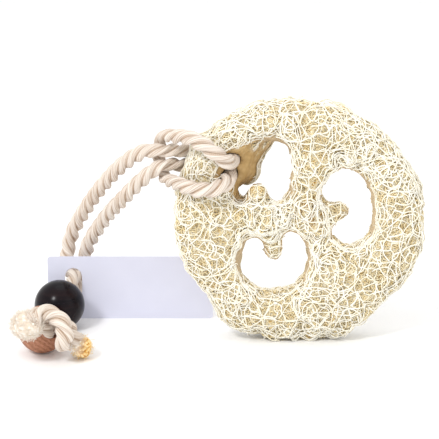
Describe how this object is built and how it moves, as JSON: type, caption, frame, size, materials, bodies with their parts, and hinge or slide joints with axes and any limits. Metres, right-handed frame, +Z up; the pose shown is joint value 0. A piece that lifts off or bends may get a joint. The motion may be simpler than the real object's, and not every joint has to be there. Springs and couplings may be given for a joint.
{
  "type": "natural loofah sponge",
  "caption": "Upright slice of dried loofah gourd for washing, open right through its chambers, with a hitched cotton rope that carries a card tag and wooden beads.",
  "frame": {"origin": "on the ground, under the middle of the loofah slice", "axes": "+Z up; the chambers run along Y and the front of the slice faces -Y; the rope, the tag and the beads lie on the -X side"},
  "size_m": [0.1733, 0.0959, 0.1059],
  "materials": {
    "loofah_fibre": "dry cream fibre, golden in its depths",
    "cotton": "three-strand twisted cotton",
    "dark_gloss": "wood with a dark gloss coat",
    "bare_wood": "bare reddish-brown wood",
    "card": "uncoated pale lavender card"
  },
  "bodies": {
    "root": {"loofah": "loofah_fibre", "cotton_rope": "cotton", "bead_dark": "dark_gloss", "bead_brown": "bare_wood", "tag_card": "card"}
  },
  "joints": []
}
